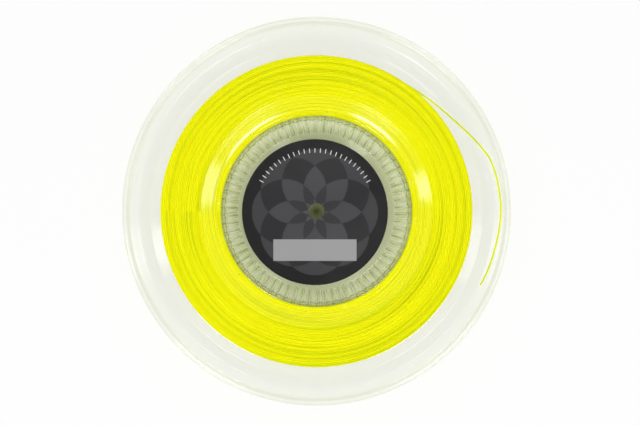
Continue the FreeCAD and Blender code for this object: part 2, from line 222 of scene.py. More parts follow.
def section_rows(finer=1):
    """Rows along the outside of a half, from the bore to the lip."""
    places = np.array([(BORE_RADIUS, WALL), *[corner[:2] for corner in CORNERS], (LIP_START, VALLEY)])
    tilts = np.arctan2(-np.diff(places[:, 1]), np.diff(places[:, 0]))
    rows = [(BORE_RADIUS, WALL, 0.0)]
    for corner, before, after, shares in zip(CORNERS, tilts, tilts[1:], [()] + SHARES_BETWEEN):
        round_here = round_rows(np.array(corner[:2]), corner[2], before, after, corner[3] * finer)
        start, end = np.array(rows[-1]), np.array(round_here[0])
        rows += [tuple(start + share * (end - start)) for share in shares] + round_here
    return np.array(rows + [(LIP_START, VALLEY, 0.0)])


def inner_line(rows):
    """The same line moved inwards by the wall's thickness."""
    return rows[:, :2] - WALL * np.column_stack((np.sin(rows[:, 2]), np.cos(rows[:, 2])))


def lip_rows(steps):
    """The rounded rim, from where it leaves the outside to where it meets the inside."""
    open_angle = math.degrees(math.asin(WALL / 2 / LIP_ROUND))
    angles = np.radians(np.linspace(180 - open_angle, open_angle - 180, steps))
    middle, level = RIM_RADIUS - LIP_ROUND, VALLEY - WALL / 2
    return np.array([(middle + LIP_ROUND * math.cos(a), level + LIP_ROUND * math.sin(a)) for a in angles])


outside = section_rows()
inside = inner_line(outside)
inside[:, 1] = np.maximum(inside[:, 1], AIR_GAP)
lip = lip_rows(LIP_STEPS)
CUP_TILT = outside[:, 2].min()
print("rows outside:", len(outside), " rows in the lip:", len(lip))
print("slope of the cup, degrees:", round(math.degrees(CUP_TILT), 2))

# %% [markdown]
# ## From the line to a moulding
#
# The line is turned round the axis in 840 steps, twelve for each of the seventy flutes of the cup, which
# gives a grid of rows and columns. Two things break the round shape. The flutes are pressed into the
# cone, and sixteen small triangles are pressed into the collar, and both are plain formulas of the angle.
# The round tie holes and the two slots are cut by moving the grid's own points: a small square of faces
# is taken out, the points round it are drawn onto the hole's outline, and the hole gets a wall. That
# keeps the mesh closed and its faces even, which clear plastic needs, because every crease in it bends
# the light.

# %% Turn the line into a grid
FLUTES = 70
STEPS_PER_FLUTE = 12
COLUMNS = FLUTES * STEPS_PER_FLUTE
FLUTE_DEPTH = 0.45
RIBS = 3
RIB_DEPTH = 0.11
FLUTE_FADE = 0.07
DARTS = 16
DART_ANGLE = 16.6
DART_BASE = 67.6
DART_REACH = 2.6
DART_HALF_WIDTH = 2.4
DART_DEPTH = 0.9
DART_EDGE = 0.45
ANGLES = np.arange(COLUMNS) * 2 * math.pi / COLUMNS


def smooth_step(value):
    """Goes from 0 to 1 without a kink at either end."""
    value = np.clip(value, 0, 1)
    return value * value * (3 - 2 * value)


def angle_from_nearest(angles, count, first):
    """How far each angle is from the nearest of several places that are spread evenly round."""
    pitch = 2 * math.pi / count
    return (angles - math.radians(first) + pitch / 2) % pitch - pitch / 2


def flute_depth(angles, share):
    """Depth of the round flutes at a share of the way up the cone. Fine ribs run along each of them."""
    across = angle_from_nearest(angles, FLUTES, 0) / (math.pi / FLUTES)
    depth = FLUTE_DEPTH * (1 - across**2) + RIB_DEPTH * (1 + np.cos(angles * FLUTES * RIBS))
    return depth * smooth_step(share / FLUTE_FADE) * smooth_step((1 - share) / FLUTE_FADE)


def dart_depth(radius, angles):
    """Depth of the pressed triangles, which point away from the axis."""
    turn = angle_from_nearest(angles, DARTS, DART_ANGLE)
    out, sideways = radius * np.cos(turn) - DART_BASE, radius * np.abs(np.sin(turn))
    inside_base = out
    inside_flank = (1 - out / DART_REACH) * DART_HALF_WIDTH - sideways
    return DART_DEPTH * smooth_step(np.minimum(inside_base, inside_flank) / DART_EDGE)


def turned_grid():
    """Radius, angle and height of every grid point, row by row: outside, lip, then inside to the bore."""
    line = np.vstack((outside[:, :2], lip[1:-1], inside[::-1]))
    radius = np.repeat(line[:, :1], COLUMNS, axis=1)
    height = np.repeat(line[:, 1:], COLUMNS, axis=1)
    angle = np.repeat(ANGLES[None, :], len(line), axis=0)
    cone = np.flatnonzero(np.isclose(outside[:, 2], CUP_TILT))
    first, last = outside[cone[0], 0], outside[cone[-1], 0]
    for row in cone:
        depth = flute_depth(ANGLES, (outside[row, 0] - first) / (last - first))
        radius[row] -= depth * math.sin(CUP_TILT)
        height[row] -= depth * math.cos(CUP_TILT)
    for row in range(len(line)):
        if DART_BASE - 1 < line[row, 0] < DART_BASE + DART_REACH + 1:
            height[row] -= dart_depth(line[row, 0], ANGLES)
    return radius, angle, height


grid_radius, grid_angle, grid_height = turned_grid()
print("grid:", grid_radius.shape)

# %% [markdown]
# Next come the holes. The position of a hole is its distance from the axis and its angle. A round hole is
# a slot whose length equals its width, so that one function draws both.

# %% Open the holes
HOLE_RINGS = 2
PATCH_RINGS = 5
SLOT_WIDTH = 2.0
SLOT_LENGTH = 5.0
TIE_ANGLE = 17.2
TIE_CIRCLE = 125.0
HOLES = [(TIE_CIRCLE, TIE_ANGLE + 90 * turn, SLOT_WIDTH) for turn in range(4)]
HOLES += [(121.9, 22.5, SLOT_LENGTH), (124.9, -23.3, SLOT_LENGTH)]


def slot_point(direction, length):
    """Where a ray from a slot's middle meets its outline, as distances outwards and round the reel."""
    half, straight = SLOT_WIDTH / 2, (length - SLOT_WIDTH) / 2
    out, along = math.cos(direction), math.sin(direction)
    if abs(along) * half <= straight * abs(out):
        return math.copysign(half, out), along / abs(out) * half
    reach = straight * abs(along) + math.sqrt(half**2 - (straight * out) ** 2)
    return reach * out, reach * along


def ring_steps(ring):
    """The grid steps from a hole's middle to the points of one square ring round it, anticlockwise."""
    side = range(-ring, ring)
    return (
        [(ring, step) for step in side]
        + [(-step, ring) for step in side]
        + [(-ring, -step) for step in side]
        + [(step, -ring) for step in side]
    )


def flange_height(radius, line):
    """Height of one side of the flange at a distance from the axis."""
    return np.interp(radius, line[:, 0], line[:, 1])


FINE_OUTSIDE = section_rows(finer=12)
FINE_INSIDE = inner_line(FINE_OUTSIDE)


def open_hole(circle, angle, length):
    """Draws the grid round a hole onto its outline. Gives the hole's middle, as a row and a column."""
    middle_row = int(np.argmin(np.abs(outside[:, 0] - circle)))
    middle_column = round(math.radians(angle) / (2 * math.pi) * COLUMNS)
    last = len(grid_radius) - 1
    row_numbers = np.arange(len(outside))
    for ring in range(HOLE_RINGS, PATCH_RINGS):
        keep = (ring - HOLE_RINGS) / (PATCH_RINGS - HOLE_RINGS)
        for row_step, column_step in ring_steps(ring):
            out, along = slot_point(math.atan2(column_step, row_step), length)
            border_row = middle_row + row_step * PATCH_RINGS / ring
            border_angle = (middle_column + column_step * PATCH_RINGS / ring) * 2 * math.pi / COLUMNS
            turn = math.radians(angle) + along / circle
            column = (middle_column + column_step) % COLUMNS
            for row, line, fine_line in (
                (middle_row + row_step, outside, FINE_OUTSIDE),
                (last - middle_row - row_step, inside, FINE_INSIDE),
            ):
                border_radius = np.interp(border_row, row_numbers, line[:, 0])
                grid_radius[row, column] = keep * border_radius + (1 - keep) * (circle + out)
                grid_angle[row, column] = keep * border_angle + (1 - keep) * turn
                grid_height[row, column] = flange_height(grid_radius[row, column], fine_line)
    return middle_row, middle_column


hole_middles = [open_hole(*hole) for hole in HOLES]
print("holes:", hole_middles)

# %% [markdown]
# ## Two mouldings from one grid
#
# Four-sided faces join each grid point to its neighbours. One mould makes both halves of the real reel,
# so the rear half is the same grid turned over. It could be a copy with a rotation of its own. But here
# every piece keeps its points in the reel's own place, so that a finish which depends on the distance
# from the axis works alike on all of them. Smooth shading hides the facets, and only edges of more than
# 50 degrees stay crisp.

# %% Join the grid's points with faces
def grid_quads(row, column, rows, columns):
    """Faces between grid points and their next neighbours. After the last row or column comes the first."""
    next_row, next_column = (row + 1) % rows, (column + 1) % columns
    corners = ((row, column), (next_row, column), (next_row, next_column), (row, next_column))
    return np.column_stack([a * columns + b for a, b in corners])


def half_faces():
    """Faces between neighbouring grid points, without those in the holes, and the walls of the holes."""
    rows, last = len(grid_radius), len(grid_radius) - 1
    keep = np.ones((rows, COLUMNS), bool)
    walls = []
    for middle_row, middle_column in hole_middles:
        for row_step in range(-HOLE_RINGS, HOLE_RINGS):
            for column_step in range(-HOLE_RINGS, HOLE_RINGS):
                column = (middle_column + column_step) % COLUMNS
                keep[middle_row + row_step, column] = False
                keep[last - middle_row - row_step - 1, column] = False
        ring = ring_steps(HOLE_RINGS)
        for (row_a, column_a), (row_b, column_b) in zip(ring, ring[1:] + ring[:1]):
            a, b = middle_row + row_a, middle_row + row_b
            column_a = (middle_column + column_a) % COLUMNS
            column_b = (middle_column + column_b) % COLUMNS
            corners = ((a, column_a), (b, column_b), (last - b, column_b), (last - a, column_a))
            walls.append([row * COLUMNS + column for row, column in corners])
    return np.vstack((grid_quads(*np.nonzero(keep), rows, COLUMNS), walls))


faces_of_half = half_faces().tolist()
print("faces of a half:", len(faces_of_half))

# %% Make the two mouldings
SHARP_ANGLE = 50


def drop_loose_points(mesh):
    """Deletes the grid points that lie inside the holes, on no face."""
    work = bmesh.new()
    work.from_mesh(mesh)
    bmesh.ops.delete(work, geom=[point for point in work.verts if not point.link_faces], context="VERTS")
    work.to_mesh(mesh)
    work.free()


def mesh_piece(name, points, faces, sharp_angle=None, loose_points=False):
    """A piece from points in millimetres. Edges sharper than sharp_angle stay crisp."""
    mesh = bpy.data.meshes.new(name)
    mesh.from_pydata((points * MM).tolist(), [], faces)
    if loose_points:
        drop_loose_points(mesh)
    mesh.shade_smooth()
    if sharp_angle is not None:
        mesh.set_sharp_from_angle(angle=math.radians(sharp_angle))
    piece = bpy.data.objects.new(name, mesh)
    bpy.context.scene.collection.objects.link(piece)
    return piece


def half_points(turned_over):
    """The grid in the reel's own place. The rear half is turned over about the line through a tie hole."""
    x, y = grid_radius * np.cos(grid_angle), grid_radius * np.sin(grid_angle)
    z = grid_height
    if turned_over:
        hinge = math.radians(2 * TIE_ANGLE)
        across, along = math.cos(hinge), math.sin(hinge)
        x, y = x * across + y * along, x * along - y * across
        z = -z
    return np.column_stack((x.ravel(), y.ravel(), z.ravel() + MIDDLE))


def make_half(name, node, turned_over):
    """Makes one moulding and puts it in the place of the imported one."""
    piece = mesh_piece(name, half_points(turned_over), faces_of_half, SHARP_ANGLE, loose_points=True)
    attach(piece, "root")
    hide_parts(node)
    print(name, len(piece.data.polygons), "faces")
    return piece


front_half = make_half("front_moulding", "front_shell", False)
rear_half = make_half("rear_moulding", "rear_shell", True)

# %% [markdown]
# ## The winding
#
# A winding machine lays the string from one flange to the other and back, layer on layer, so a reel is
# one long path and not a stack of rings. The path here is built the same way: each layer is a shallow
# helix as wide as the flanges leave room for, the next one runs back over it, and the pitch is worked out
# so that all turns together are 200 m long. At each flange the machine waits for part of a turn before it
# runs back, so the face that one sees through the flange is made of nearly whole circles. Small slow
# wanderings in both directions stop it from looking machined. Every other layer ends a little deeper,
# because its string settles between the turns below, and that draws the fine lines. Where such a layer
# stays well away from the flange for part of a turn, a dark arc shows.

# %% Plan the layers
REEL_LENGTH = 200000.0
LAYERS = 35
STEPS_PER_TURN = 120
CORE_GAP = 0.05
FLANGE_GAP = 0.25
LAYER_SLACK = 0.25
# half the width of the winding, and how much wider it gets towards the neck under the collar
FACE_HALF = 6.8
NECK_EXTRA = 1.15
NECK_RADIUS = 80.5
NECK_FADE = 10.0
COLLAR_ROOM = 1.2
DEEPER_BY = (0.35, 0.6)
WAIT_TURNS = 0.8
SEED = 7

rng = np.random.default_rng(SEED)
half_string = STRING_DIAMETER / 2
tail_start = TAIL_ROUTE[0]
last_radius = math.hypot(tail_start[0], tail_start[1])
layer_radii = np.linspace(CORE_RADIUS + half_string + CORE_GAP, last_radius, LAYERS)


def room_for(radius):
    """Half the width that string centres have between the flanges, at a distance from the axis."""
    edges = np.maximum((radius - half_string, radius + half_string), CORE_RADIUS)
    lowest = flange_height(edges, FINE_INSIDE).min()
    return min(lowest, TOP - WALL - COLLAR_ROOM) - half_string - FLANGE_GAP


layer_halves = np.array([room_for(radius) for radius in layer_radii]) - rng.uniform(0, LAYER_SLACK, LAYERS)
face_halves = FACE_HALF - half_string + NECK_EXTRA * smooth_step((NECK_RADIUS - layer_radii) / NECK_FADE)
layer_halves = np.minimum(layer_halves, face_halves)
deep_layers = np.arange(1, LAYERS, 2)
layer_halves[deep_layers] -= rng.uniform(*DEEPER_BY, len(deep_layers))
swept = np.sum(2 * math.pi * layer_radii * 2 * layer_halves)
waited = np.sum(2 * math.pi * layer_radii * 2 * WAIT_TURNS)
pitch = swept / (REEL_LENGTH - TAIL_LENGTH / MM - waited)
print("pitch across the reel, mm:", round(pitch, 3))

# %% Choose where layers lie deeper
DIPS = [
    # distance from the axis, first and last angle, and depth of a stretch that lies away from the flange
    (93.7, 235, 292, 1.3),
    (93.7, 98, 137, 1.2),
    (104.1, 22, 78, 0.9),
    (101.0, 150, 215, 0.7),
    (88.5, 300, 365, 0.9),
    (97.5, 330, 400, 0.7),
]
SOFT_DIPS = 50
SOFT_DIP_ARC = (30, 150)
SOFT_DIP_DEPTH = (0.1, 0.5)
DIP_STEEPNESS = 3


def layer_dips():
    """For every layer, the stretches round the reel where it lies away from the flange."""
    dips = [[] for _ in range(LAYERS)]
    for radius, first, last, depth in DIPS:
        nearest = deep_layers[np.argmin(np.abs(layer_radii[deep_layers] - radius))]
        dips[nearest].append((first, last, depth))
    for _ in range(SOFT_DIPS):
        first = rng.uniform(0, 360)
        layer = rng.choice(deep_layers)
        last = first + rng.uniform(*SOFT_DIP_ARC)
        dips[layer].append((first, last, rng.uniform(*SOFT_DIP_DEPTH)))
    return dips


def dip_depth(angles, dips):
    """How far a layer stays away from the flange at each angle."""
    depth = np.zeros(len(angles))
    for first, last, full in dips:
        half_width = math.radians(last - first) / 2
        away = np.abs(angle_from_nearest(angles, 1, (first + last) / 2))
        depth = np.maximum(depth, full * smooth_step(DIP_STEEPNESS * (1 - away / half_width)))
    return depth


print("dips set by hand:", len(DIPS), " random ones:", SOFT_DIPS)

# %% Follow the string from the core outwards
BLEND_STEPS = 15
RADIAL_WANDER = 0.03
AXIAL_WANDER = 0.06
WAVES_PER_TURN = (0.05, 0.4)
WAVE_HEIGHTS = (0.4, 1)


def wander(count, strength, slowest, fastest, waves=7):
    """A slow random wandering along the string, from a few sine waves."""
    turns = np.arange(count) / STEPS_PER_TURN
    total = np.zeros(count)
    for _ in range(waves):
        height = rng.uniform(*WAVE_HEIGHTS)
        waves_passed = rng.uniform(slowest, fastest) * turns + rng.random()
        total += height * np.sin(2 * math.pi * waves_passed)
    return total * strength / math.sqrt(waves)


def string_path():
    """Radius, angle and height of the string, step by step from the core outwards."""
    reaches = layer_halves + WAIT_TURNS * pitch
    counts = np.round(2 * reaches / pitch * STEPS_PER_TURN).astype(int)
    steps_left = counts.sum() - 1 - np.arange(counts.sum())
    angles = math.atan2(tail_start[1], tail_start[0]) + steps_left * 2 * math.pi / STEPS_PER_TURN
    radii = np.repeat(layer_radii, counts)
    heights = []
    first, side = 0, 1 if LAYERS % 2 else -1
    for half, reach, count, dips in zip(layer_halves, reaches, counts, layer_dips()):
        limit = half - dip_depth(angles[first : first + count], dips)
        heights.append(np.clip(np.linspace(-reach, reach, count, endpoint=False), -limit, limit) * side)
        first, side = first + count, -side
    heights = np.concatenate(heights)
    blend = np.ones(BLEND_STEPS) / BLEND_STEPS
    pad = BLEND_STEPS // 2
    radii = np.convolve(np.pad(radii, pad, mode="edge"), blend, mode="valid")
    heights = np.convolve(np.pad(heights, pad, mode="edge"), blend, mode="valid")
    quiet_end = smooth_step((len(radii) - np.arange(len(radii))) / STEPS_PER_TURN)
    radii = radii + wander(len(radii), RADIAL_WANDER, *WAVES_PER_TURN) * quiet_end
    heights = heights + wander(len(radii), AXIAL_WANDER, *WAVES_PER_TURN) * quiet_end
    return radii, angles, heights


path_radius, path_angle, path_height = string_path()
path_length = np.sum(path_radius) * 2 * math.pi / STEPS_PER_TURN
print("turns:", round(len(path_radius) / STEPS_PER_TURN, 1), " length, m:", round(path_length * MM, 2))

# %% [markdown]
# The string is six-sided, with soft corners, and turns a little along its length, so that its flats catch
# the light here and there. A curve with a bevel would sweep it too, but would choose by itself how the
# six sides turn. So a ring of six points is set round every step of the path, with a slow turn from ring
# to ring, and the rings are joined. The winding is cut into four pieces, because one mesh of all its
# turns would be slow to work with.

# %% Sweep the six-sided string along the path
SIDES = 6
CORNER_RADIUS = 0.69
TWIST = 0.25
TWISTS_PER_TURN = (0.05, 0.6)


def sweep_string(name, first, last):
    """The string from one step of the path to another, closed at both ends."""
    radius, angle, height = path_radius[first:last], path_angle[first:last], path_height[first:last]
    twist = path_twist[first:last]
    sides = np.arange(SIDES) * 2 * math.pi / SIDES
    around = twist[:, None] + sides[None, :]
    ring_radius = radius[:, None] + CORNER_RADIUS * np.cos(around)
    ring_height = height[:, None] + CORNER_RADIUS * np.sin(around) + MIDDLE
    x = ring_radius * np.cos(angle)[:, None]
    y = ring_radius * np.sin(angle)[:, None]
    points = np.column_stack((x.ravel(), y.ravel(), ring_height.ravel()))
    step, side = np.meshgrid(np.arange(len(radius) - 1), np.arange(SIDES), indexing="ij")
    step, side, after = step.ravel() * SIDES, side.ravel(), ((side + 1) % SIDES).ravel()
    faces = np.column_stack((step + side, step + after, step + SIDES + after, step + SIDES + side)).tolist()
    end = (len(radius) - 1) * SIDES
    faces.append(list(range(SIDES))[::-1])
    faces.append([end + side for side in range(SIDES)])
    return mesh_piece(name, points, faces)


path_twist = wander(len(path_radius), TWIST, *TWISTS_PER_TURN)
WINDING_PARTS = 4
borders = np.linspace(0, len(path_radius) - 1, WINDING_PARTS + 1).astype(int)
windings = []
for part in range(WINDING_PARTS):
    piece = sweep_string(f"winding_part_{part + 1}", borders[part], borders[part + 1] + 1)
    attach(piece, "root")
    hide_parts("string_winding")
    windings.append(piece)
    print(piece.name, len(piece.data.polygons), "faces")

# %% [markdown]
# ## Labels
#
# Each floor carries a round paper label under a clear film. It is stuck on by hand, so it sits a
# millimetre off centre, while its hole is cut in line with the spindle's. A sheet that thin never lies
# quite flat, so its top has shallow ripples, and its edge is rounded. The two outlines, the hole and the
# rim, are joined by rows of points.

# %% Make the labels
LABEL_RADIUS = 50.9
LABEL_HOLE = 5.5
LABEL_THICKNESS = 0.2
LABEL_X = -1.1
LABEL_Y = -0.6
LABEL_COLUMNS = 300
LABEL_ROWS = 26
LABEL_RIPPLE = 0.03
LABEL_EDGE = 0.06
LABEL_SHOULDER = 0.6


def label_rows():
    """Share of the way from the hole to the rim, and share of the thickness, round the label's section."""
    edge = LABEL_EDGE / (LABEL_RADIUS - LABEL_HOLE)
    top = [(share, 1.0) for share in np.linspace(edge, 1 - edge, LABEL_ROWS)]
    return [(0.0, 0.0), (0.0, LABEL_SHOULDER), *top, (1.0, LABEL_SHOULDER), (1.0, 0.0)]


def ripple(x, y):
    """How deep the shallow waves of the sheet are at a point, from 0 to 1."""
    waves = np.sin(0.21 * x + 1.3) * np.cos(0.17 * y - 0.4) + np.sin(0.11 * y + 0.08 * x)
    return 0.5 + 0.25 * waves


def make_label(name, node, base, upwards):
    """A label that lies on a base height. upwards is 1 on the front floor and -1 on the rear one."""
    angle = np.arange(LABEL_COLUMNS) * 2 * math.pi / LABEL_COLUMNS
    rows = []
    for share, level in label_rows():
        radius = LABEL_HOLE + share * (LABEL_RADIUS - LABEL_HOLE)
        x, y = radius * np.cos(angle) + share * LABEL_X, radius * np.sin(angle) + share * LABEL_Y
        rise = level * (LABEL_THICKNESS - LABEL_RIPPLE * ripple(x, y) * (level == 1.0))
        rows.append(np.column_stack((x, y, base + upwards * rise)))
    points = np.vstack(rows)
    row, column = np.indices((len(rows), LABEL_COLUMNS)).reshape(2, -1)
    faces = grid_quads(row, column, len(rows), LABEL_COLUMNS)[:, ::upwards]
    piece = mesh_piece(name, points, faces.tolist(), sharp_angle=35)
    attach(piece, "root")
    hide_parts(node)
    print(name, len(piece.data.polygons), "faces")
    return piece


front_film = make_label("front_label_film", "front_label", MIDDLE + WALL, 1)
rear_film = make_label("rear_label_film", "rear_label", MIDDLE - WALL, -1)

# %% [markdown]
# ## Shared effects
#
# Several finishes need the same things, so each is a small node group. The first turns a point of the reel
# into its distance from the axis and its angle. The second gives the marks of handling: smudges that dull
# the gloss in patches, and hair scratches that run roughly round the reel, because reels are turned against
# each other in their box. The third tells whether a value lies between two bounds. It draws sharp print, and
# it keeps painted light and shade to one part of a moulding.
#
# A finish could be wired by hand in the shader editor, but in a script the wires soon hide the idea. So
# each helper adds one kind of node, gives it its values or links, and hands on what the node puts out.

# %% Helpers for nodes
def feed(tree, socket, value):
    """Gives a socket a plain value, or links it to another node's output."""
    if isinstance(value, bpy.types.NodeSocket):
        tree.links.new(value, socket)
    else:
        socket.default_value = value


def feed_named(tree, node, values):
    """Feeds a node's inputs. In their names, an underscore stands for a space."""
    for name, value in values.items():
        feed(tree, node.inputs[name.replace("_", " ")], value)
    return node


def add_node(tree, kind, **values):
    """A new node with its inputs fed."""
    return feed_named(tree, tree.nodes.new(kind), values)


def add_math(tree, operation, *values):
    """The result of a Math node. Each value is a number or another node's output."""
    node = tree.nodes.new("ShaderNodeMath")
    node.operation = operation
    for socket, value in zip(node.inputs, values):
        feed(tree, socket, value)
    return node.outputs[0]


print("node helpers for Blender", bpy.app.version_string)

# %% Group: distance from the axis and angle
def new_group(name, inputs, outputs):
    """An empty node group. All its sockets carry plain numbers."""
    group = bpy.data.node_groups.new(name, "ShaderNodeTree")
    for title in inputs:
        group.interface.new_socket(title, in_out="INPUT", socket_type="NodeSocketFloat")
    for title in outputs:
        group.interface.new_socket(title, in_out="OUTPUT", socket_type="NodeSocketFloat")
    return group, group.nodes.new("NodeGroupInput").outputs, group.nodes.new("NodeGroupOutput").inputs


def object_place(tree):
    """The point of the surface, in metres."""
    return tree.nodes.new("ShaderNodeTexCoord").outputs["Object"]


def add_length(tree, x, y):
    """The length of the line to a point x across and y along."""
    return add_math(tree, "SQRT", add_math(tree, "MULTIPLY_ADD", x, x, add_math(tree, "MULTIPLY", y, y)))


def make_polar_group():
    """Puts out the distance from an axis and the angle round it. Its place goes in."""
    group, given, put_out = new_group("polar_place", ("Centre X", "Centre Y"), ("Radius", "Angle"))
    place = add_node(group, "ShaderNodeSeparateXYZ", Vector=object_place(group)).outputs
    x = add_math(group, "SUBTRACT", place["X"], given["Centre X"])
    y = add_math(group, "SUBTRACT", place["Y"], given["Centre Y"])
    feed(group, put_out["Radius"], add_length(group, x, y))
    feed(group, put_out["Angle"], add_math(group, "ARCTAN2", y, x))
    return group


polar_place = make_polar_group()
print("polar_place nodes:", len(polar_place.nodes))

# %% Group: marks of handling
SMUDGE_SCALE = 28.0
SMUDGE_BOUNDS = (0.45, 0.75)
HAIR_STRETCH = (2600.0, 5.0)
HAIR_BOUNDS = (0.62, 0.72)


def map_range(tree, value, low, high, start=0.0, end=1.0, smooth=False):
    """Goes from start to end while the value goes from low to high."""
    limits = {"From_Min": low, "From_Max": high, "To_Min": start, "To_Max": end}
    node = add_node(tree, "ShaderNodeMapRange", Value=value, **limits)
    if smooth:
        node.interpolation_type = "SMOOTHSTEP"
    return node.outputs[0]


def unroll(tree, place, outwards, sideways):
    """The surface unrolled to a flat map, stretched by one number outwards and by another round the axis."""
    x = add_math(tree, "MULTIPLY", place["Radius"], outwards)
    y = add_math(tree, "MULTIPLY", place["Angle"], sideways)
    return add_node(tree, "ShaderNodeCombineXYZ", X=x, Y=y).outputs[0]


def add_noise(tree, place, scale, detail):
    """Soft random values between 0 and 1."""
    return add_node(tree, "ShaderNodeTexNoise", Vector=place, Scale=scale, Detail=detail).outputs[0]


def make_marks_group():
    """Puts out a roughness with smudges in it, and the height of the scratches."""
    inputs = ("Radius", "Angle", "Base Roughness", "Dulling", "Scratches")
    group, given, put_out = new_group("handling_marks", inputs, ("Roughness", "Height"))
    smudges = add_noise(group, object_place(group), SMUDGE_SCALE, detail=3.0)
    smudges = map_range(group, smudges, *SMUDGE_BOUNDS, smooth=True)
    roughness = add_math(group, "MULTIPLY_ADD", smudges, given["Dulling"], given["Base Roughness"])
    hairs = add_noise(group, unroll(group, given, *HAIR_STRETCH), 1.0, detail=2.0)
    hairs = map_range(group, hairs, *HAIR_BOUNDS)
    feed(group, put_out["Roughness"], roughness)
    feed(group, put_out["Height"], add_math(group, "MULTIPLY", hairs, given["Scratches"]))
    return group


handling_marks = make_marks_group()
print("handling_marks nodes:", len(handling_marks.nodes))

# %% Group: a band of a value
def make_band_group():
    """1 between two bounds of a value, with an edge of a given softness, and 0 outside them."""
    group, given, put_out = new_group("between", ("Value", "Low", "High", "Edge"), ("Inside",))
    masks = []
    for bound, sign in (("Low", 1), ("High", -1)):
        past = add_math(group, "SUBTRACT", given["Value"], given[bound])
        edges_past = add_math(group, "DIVIDE", past, given["Edge"])
        masks.append(map_range(group, edges_past, -0.5 * sign, 0.5 * sign))
    feed(group, put_out["Inside"], add_math(group, "MULTIPLY", *masks))
    return group


between = make_band_group()


def use_group(tree, group, **values):
    """Places a node group in a material, with its own values."""
    node = tree.nodes.new("ShaderNodeGroup")
    node.node_tree = group
    return feed_named(tree, node, values).outputs


def inside_band(tree, value, bounds, edge, unit=MM):
    """1 where a value lies between two bounds. They are in millimetres, unless unit says otherwise."""
    low, high = (bound * unit for bound in bounds)
    return use_group(tree, between, Value=value, Low=low, High=high, Edge=edge * unit)["Inside"]


print("between nodes:", len(between.nodes))

# %% [markdown]
# ## Clear plastic
#
# The mouldings are clear polystyrene. Real refraction is what makes the fluted cup sparkle and draws a
# dark line at every edge, so the plastic is a true glass shader on a closed wall, with a faint absorption
# inside it that adds up along the edges. Its index is 1.46, below the 1.59 of polystyrene, because the
# lines at the edges then come out as faint as they are on the real reel. Lamps can't be sampled through
# refraction, so shadow rays and soft bounced light see the plastic as a plain window instead. That keeps
# the string and the floor evenly lit and free of noise.
#
# The cup of the real reel looks olive, because its many walls pass the yellow of the string on to each
# other, and dark streaks run up its flutes. A few bounces of light can't build up all of that, so part of
# this light and shade is painted into the colour of the plastic: a painted olive shade in the cup, painted
# streaks of shade and reflection from cosines of the angle, a painted yellow glow in a ring at the cup's
# edge and a painted grey shade at the rim. Beyond the winding the surface is also a little rougher, as reels
# rub there. The bump is the slight unevenness that the flow of the plastic leaves in a moulding, with the
# scratches on top.

# %% Painted streaks up the cone
UNEVEN_STRETCH = (90.0, 60.0)
UNEVEN_DRIFT = 2.0
SLOW_SCALE = 3.0
SLOW_DRIFT = 3.0
STREAK_MIDDLE = 0.5
# Painted light: streaks of shade and reflection up the cone, such as the flutes would make.
PAINTED_STREAKS = [
    # how many go round the cup, and how dark they are
    (FLUTES, 0.22),
    (FLUTES * RIBS, 0.15),
]
STREAK_BOUNDS = (0.25, 0.60)


def painted_streaks_up_cone(tree, place):
    """Painted streaks of shade and reflection along the flutes and their ribs. Noise bends them and lets
    them fade here and there.
    """
    uneven = add_noise(tree, unroll(tree, place, *UNEVEN_STRETCH), 1.0, detail=1.0)
    slow = add_node(tree, "ShaderNodeTexNoise", Scale=SLOW_SCALE, Detail=0.0)
    slow.noise_dimensions = "1D"
    feed(tree, slow.inputs["W"], place["Angle"])
    drift = add_math(tree, "MULTIPLY", uneven, UNEVEN_DRIFT)
    drift = add_math(tree, "MULTIPLY_ADD", slow.outputs[0], SLOW_DRIFT, drift)
    streak = STREAK_MIDDLE
    for count, share in PAINTED_STREAKS:
        phase = add_math(tree, "MULTIPLY_ADD", place["Angle"], count, drift)
        streak = add_math(tree, "MULTIPLY_ADD", add_math(tree, "COSINE", phase), share, streak)
    return add_math(tree, "MULTIPLY", streak, map_range(tree, uneven, *STREAK_BOUNDS))


print("streaks round the cup:", [count for count, share in PAINTED_STREAKS])

# %% Painted light in the colour of the clear plastic
CONE = (54.8, 66.2)
CUP = (-66.2, 66.2)
CUP_BLEND = 0.6
RIM_BAND = (129.5, 140.0)
RIM_BLEND = 2.0
EDGE_BAND = (64.7, 67.5)
EDGE_BLEND = 1.0
# Painted light: a yellow glow at the cup's edge, a faint tint beside the cone, and a grey shade at the rim.
CUP_EDGE_PAINTED_LIGHT = (0.95, 0.95, 0.80, 1)
BESIDE_CONE_PAINTED_LIGHT = 0.3
RIM_PAINTED_SHADE = 0.37
PAINTED_LIGHT_STOPS = [
    # amount of painted light and shade, and colour
    (0.0, (1, 1, 1)),
    (0.3, (0.995, 0.998, 0.98)),
    (1.0, (0.61, 0.69, 0.46)),
]


def colour_ramp(tree, value, stops):
    """Colours that follow a value. Each stop is a value and the colour there."""
    ramp = tree.nodes.new("ShaderNodeValToRGB")
    feed(tree, ramp.inputs[0], value)
    elements = ramp.color_ramp.elements
    for _ in stops[2:]:
        elements.new(0.5)
    for element, (position, colour) in zip(elements, stops):
        element.position = position
        element.color = (*colour, 1)
    return ramp.outputs[0]


def mix_colours(tree, share, first, second, blend="MIX"):
    """The first colour where the share is 0, and the second, or its blend with the first, where it is 1."""
    node = tree.nodes.new("ShaderNodeMix")
    node.data_type = "RGBA"
    node.blend_type = blend
    for index, value in ((0, share), (6, first), (7, second)):
        feed(tree, node.inputs[index], value)
    return node.outputs[2]


